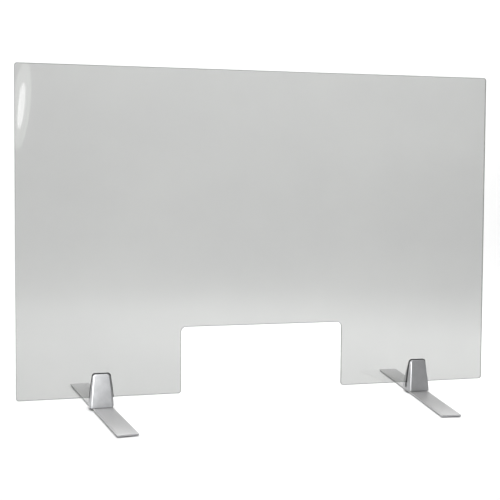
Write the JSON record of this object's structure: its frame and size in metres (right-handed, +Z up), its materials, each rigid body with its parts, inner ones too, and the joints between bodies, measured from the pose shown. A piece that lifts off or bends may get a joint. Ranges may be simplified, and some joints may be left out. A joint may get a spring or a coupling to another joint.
{
  "type": "desk privacy panel",
  "caption": "Clear free-standing desk screen with rounded corners and a pass-through notch, held upright by clamp feet on flat bars that slide along its edge and swivel.",
  "frame": {"origin": "on the desk top, below the middle of the screen's width and in its mid plane", "axes": "+X along the screen to its right end seen from the front, +Y to the rear, +Z up; the front is -Y"},
  "size_m": [1, 0.4534, 0.682],
  "materials": {
    "clear_acrylic": "clear, polished",
    "satin_silver_casting": "satin silver",
    "brushed_aluminium": "brushed along its length",
    "black_rubber": "matte",
    "zinc_plated_steel": "zinc plated",
    "black_oxide_steel": "black oxide"
  },
  "bodies": {
    "screen": {"screen_panel": "clear_acrylic"},
    "left_lining": {"left_front_liner": "black_rubber", "left_edge_rest": "black_rubber"},
    "left_clamp": {"left_clamp_body": "satin_silver_casting", "left_bar_screw": "zinc_plated_steel"},
    "left_plate": {"left_pressure_plate": "zinc_plated_steel", "left_rear_pad": "black_rubber"},
    "left_screw_a": {"left_set_screw_a": "black_oxide_steel"},
    "left_screw_b": {"left_set_screw_b": "black_oxide_steel"},
    "left_base_bar": {"left_bar": "brushed_aluminium", "left_front_foot_pad": "black_rubber", "left_rear_foot_pad": "black_rubber"},
    "right_lining": {"right_front_liner": "black_rubber", "right_edge_rest": "black_rubber"},
    "right_clamp": {"right_clamp_body": "satin_silver_casting", "right_bar_screw": "zinc_plated_steel"},
    "right_plate": {"right_pressure_plate": "zinc_plated_steel", "right_rear_pad": "black_rubber"},
    "right_screw_a": {"right_set_screw_a": "black_oxide_steel"},
    "right_screw_b": {"right_set_screw_b": "black_oxide_steel"},
    "right_base_bar": {"right_bar": "brushed_aluminium", "right_front_foot_pad": "black_rubber", "right_rear_foot_pad": "black_rubber"}
  },
  "joints": [
    {"name": "left_foot_slide", "type": "slide", "parent": "left_lining", "child": "screen", "axis": [-1, 0, 0], "range_m": [-0.14, 0.136]},
    {"name": "left_lift_out", "type": "slide", "parent": "left_clamp", "child": "left_lining", "axis": [0, 0, 1], "range_m": [0, 0.06]},
    {"name": "left_plate_press", "type": "slide", "parent": "left_clamp", "child": "left_plate", "axis": [0, 1, 0], "range_m": [0, 0.0015]},
    {"name": "left_set_screw_a_turn", "type": "hinge", "parent": "left_plate", "child": "left_screw_a", "pos_m": [-0.342, 0.0109, 0.038], "axis": [0, 1, 0], "range_deg": [0, 540]},
    {"name": "left_set_screw_b_turn", "type": "hinge", "parent": "left_plate", "child": "left_screw_b", "pos_m": [-0.326, 0.0109, 0.038], "axis": [0, 1, 0], "range_deg": [0, 540]},
    {"name": "left_bar_swivel", "type": "hinge", "parent": "left_clamp", "child": "left_base_bar", "pos_m": [-0.334, 0, 0.0028], "axis": [0, 0, 1], "range_deg": [-96.6, 83.4]},
    {"name": "right_foot_slide", "type": "slide", "parent": "screen", "child": "right_lining", "axis": [1, 0, 0], "range_m": [-0.148, 0.128]},
    {"name": "right_lift_out", "type": "slide", "parent": "right_lining", "child": "right_clamp", "axis": [0, 0, -1], "range_m": [0, 0.06]},
    {"name": "right_plate_press", "type": "slide", "parent": "right_clamp", "child": "right_plate", "axis": [0, 1, 0], "range_m": [0, 0.0015]},
    {"name": "right_set_screw_a_turn", "type": "hinge", "parent": "right_plate", "child": "right_screw_a", "pos_m": [0.338, 0.0109, 0.038], "axis": [0, 1, 0], "range_deg": [0, 540]},
    {"name": "right_set_screw_b_turn", "type": "hinge", "parent": "right_plate", "child": "right_screw_b", "pos_m": [0.354, 0.0109, 0.038], "axis": [0, 1, 0], "range_deg": [0, 540]},
    {"name": "right_bar_swivel", "type": "hinge", "parent": "right_clamp", "child": "right_base_bar", "pos_m": [0.346, 0, 0.0028], "axis": [0, 0, 1], "range_deg": [-83.4, 96.6]}
  ],
  "couplings": [
    {"joint": "right_lift_out", "follows": "left_lift_out", "ratio": 1},
    {"joint": "left_set_screw_a_turn", "follows": "left_plate_press", "rad_per_m": 6283.2},
    {"joint": "left_set_screw_b_turn", "follows": "left_plate_press", "rad_per_m": 6283.2},
    {"joint": "right_set_screw_a_turn", "follows": "right_plate_press", "rad_per_m": 6283.2},
    {"joint": "right_set_screw_b_turn", "follows": "right_plate_press", "rad_per_m": 6283.2}
  ]
}
